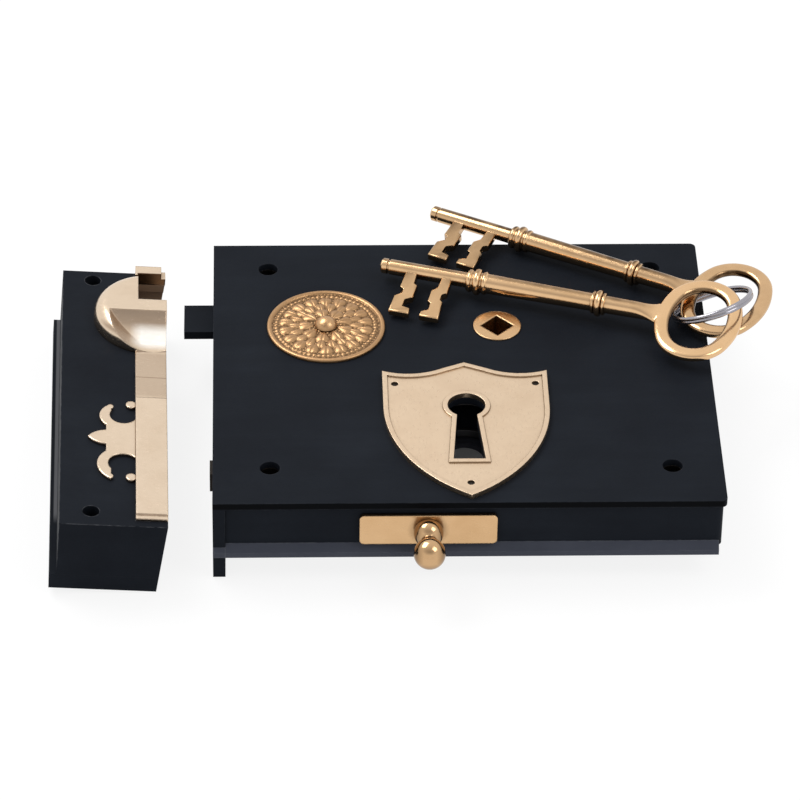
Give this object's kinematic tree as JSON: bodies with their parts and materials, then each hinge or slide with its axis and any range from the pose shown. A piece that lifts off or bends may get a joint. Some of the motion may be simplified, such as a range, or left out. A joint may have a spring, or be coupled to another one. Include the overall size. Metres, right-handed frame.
{
  "type": "rim box lock",
  "caption": "Iron rim lock with a lifting latch, key bolt, snib night bolt, brass rose and shield, a box keep with a brass striker, and keys on a split ring.",
  "frame": {"origin": "centre of the four fixing holes, on the door side of the case", "axes": "+X from the forend to the rear edge, +Y up the door, +Z out of the face plate; the lock lies on its back"},
  "size_m": [0.2436, 0.1743, 0.0454],
  "materials": {
    "japanned_iron": "black japanned, satin",
    "raw_iron": "dark oiled iron",
    "steel": "plain steel",
    "cast_brass": "cast brass, aged in the hollows",
    "polished_brass": "polished brass",
    "satin_brass": "satin brass",
    "key_brass": "polished brass, darkened in the grooves",
    "ring_steel": "bright steel wire"
  },
  "bodies": {
    "case": {"face_plate": "japanned_iron", "rim": "japanned_iron", "back_cap": "japanned_iron", "fixing_tubes": "raw_iron", "cap_pillars": "raw_iron", "cap_screws": "steel", "rose": "cast_brass", "rose_stud": "cast_brass", "latch_pivot": "steel", "latch_spring": "steel", "spring_post": "steel", "bolt_stump": "steel", "tumbler_pivot": "steel", "spring_stop": "steel", "wards": "raw_iron", "shield": "satin_brass", "shield_pins": "raw_iron"},
    "follower": {"follower": "polished_brass"},
    "latch": {"latch_bar": "japanned_iron"},
    "key_bolt": {"key_bolt": "raw_iron"},
    "tumbler": {"tumbler": "polished_brass", "tumbler_spring": "steel"},
    "night_bolt": {"night_bolt": "raw_iron", "night_spring": "steel", "snib_plate": "polished_brass", "snib_knob": "polished_brass"},
    "keys": {"front_key": "key_brass", "back_key": "key_brass", "split_ring": "ring_steel"},
    "keep": {"keep_case": "japanned_iron", "keep_base": "japanned_iron", "keep_striker": "polished_brass", "keep_fleur": "polished_brass"}
  },
  "joints": [
    {"name": "follower_turn", "type": "hinge", "parent": "case", "child": "follower", "pos_m": [0.0115, 0.0213, 0.01], "axis": [0, 0, -1], "range_deg": [0, 25]},
    {"name": "latch_lift", "type": "hinge", "parent": "case", "child": "latch", "pos_m": [0.066, 0.0353, 0.01], "axis": [0, 0, -1], "range_deg": [0, 4.4], "stiffness_Nm_per_rad": 2, "deforming": ["latch_spring"]},
    {"name": "bolt_throw", "type": "slide", "parent": "case", "child": "key_bolt", "axis": [-1, 0, 0], "range_m": [0, 0.013]},
    {"name": "tumbler_lift", "type": "hinge", "parent": "case", "child": "tumbler", "pos_m": [-0.048, 0, 0.0138], "axis": [0, 0, 1], "range_deg": [0, 7], "stiffness_Nm_per_rad": 0.2, "deforming": ["tumbler_spring"]},
    {"name": "snib_slide", "type": "slide", "parent": "case", "child": "night_bolt", "axis": [-1, 0, 0], "range_m": [0, 0.01]},
    {"name": "keys_lift", "type": "slide", "parent": "case", "child": "keys", "axis": [0, 0, 1], "range_m": [0, 0.06]},
    {"name": "keep_lift", "type": "slide", "parent": "case", "child": "keep", "axis": [0, 0, 1], "range_m": [0, 0.06]}
  ],
  "couplings": [
    {"joint": "latch_lift", "follows": "follower_turn", "ratio": 0.176}
  ]
}
